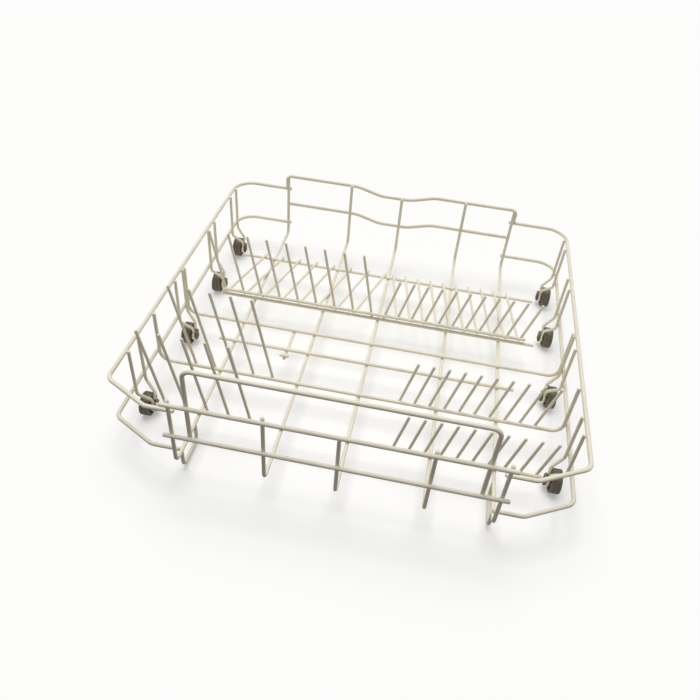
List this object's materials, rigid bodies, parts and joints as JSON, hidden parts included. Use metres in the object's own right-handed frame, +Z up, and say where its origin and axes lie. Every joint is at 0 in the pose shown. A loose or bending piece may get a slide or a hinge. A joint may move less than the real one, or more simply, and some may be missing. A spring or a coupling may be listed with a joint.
{
  "type": "dishwasher lower rack",
  "caption": "Coated wire lower rack for a dishwasher: open basket with leaning plate tines, a front hoop handle and side rollers in wire loops.",
  "frame": {"origin": "middle of the rack's outline at the height where the rollers stand on their tracks", "axes": "+Z up, +X to the right of someone who faces the handle, -Y to the front where the handle is"},
  "size_m": [0.529, 0.5116, 0.1825],
  "materials": {
    "coated_wire": "smooth satin polyamide coating over steel wire",
    "roller_plastic": "moulded matt plastic"
  },
  "bodies": {
    "basket": {"back_rail_lower": "coated_wire", "back_rail_upper": "coated_wire", "cross_wire_back": "coated_wire", "cross_wire_front": "coated_wire", "cross_wire_mid": "coated_wire", "cross_wire_rear": "coated_wire", "cross_wire_wall": "coated_wire", "floor_stub": "coated_wire", "floor_wire_1": "coated_wire", "floor_wire_2": "coated_wire", "floor_wire_3": "coated_wire", "floor_wire_4": "coated_wire", "floor_wire_5": "coated_wire", "front_feet": "coated_wire", "handle_bar_low": "coated_wire", "handle_bar_mid": "coated_wire", "handle_hoop": "coated_wire", "plate_stop": "coated_wire", "rim_lower": "coated_wire", "rim_upper": "coated_wire", "roller_loops": "coated_wire", "tine_bar": "coated_wire", "tines_front": "coated_wire", "tines_mid": "coated_wire", "tines_rear": "coated_wire"},
    "wheel_left_1": {"wheel_left_1": "roller_plastic"},
    "wheel_left_2": {"wheel_left_2": "roller_plastic"},
    "wheel_left_3": {"wheel_left_3": "roller_plastic"},
    "wheel_left_4": {"wheel_left_4": "roller_plastic"},
    "wheel_right_1": {"wheel_right_1": "roller_plastic"},
    "wheel_right_2": {"wheel_right_2": "roller_plastic"},
    "wheel_right_3": {"wheel_right_3": "roller_plastic"},
    "wheel_right_4": {"wheel_right_4": "roller_plastic"}
  },
  "joints": [
    {"name": "wheel_left_1_spin", "type": "hinge", "parent": "basket", "child": "wheel_left_1", "pos_m": [-0.253, -0.1584, 0.015], "axis": [1, 0, 0], "continuous": true},
    {"name": "wheel_left_2_spin", "type": "hinge", "parent": "basket", "child": "wheel_left_2", "pos_m": [-0.253, -0.018, 0.015], "axis": [1, 0, 0], "continuous": true},
    {"name": "wheel_left_3_spin", "type": "hinge", "parent": "basket", "child": "wheel_left_3", "pos_m": [-0.253, 0.1076, 0.015], "axis": [1, 0, 0], "continuous": true},
    {"name": "wheel_left_4_spin", "type": "hinge", "parent": "basket", "child": "wheel_left_4", "pos_m": [-0.253, 0.209, 0.015], "axis": [1, 0, 0], "continuous": true},
    {"name": "wheel_right_1_spin", "type": "hinge", "parent": "basket", "child": "wheel_right_1", "pos_m": [0.253, -0.1584, 0.015], "axis": [1, 0, 0], "continuous": true},
    {"name": "wheel_right_2_spin", "type": "hinge", "parent": "basket", "child": "wheel_right_2", "pos_m": [0.253, -0.018, 0.015], "axis": [1, 0, 0], "continuous": true},
    {"name": "wheel_right_3_spin", "type": "hinge", "parent": "basket", "child": "wheel_right_3", "pos_m": [0.253, 0.1076, 0.015], "axis": [1, 0, 0], "continuous": true},
    {"name": "wheel_right_4_spin", "type": "hinge", "parent": "basket", "child": "wheel_right_4", "pos_m": [0.253, 0.209, 0.015], "axis": [1, 0, 0], "continuous": true}
  ]
}
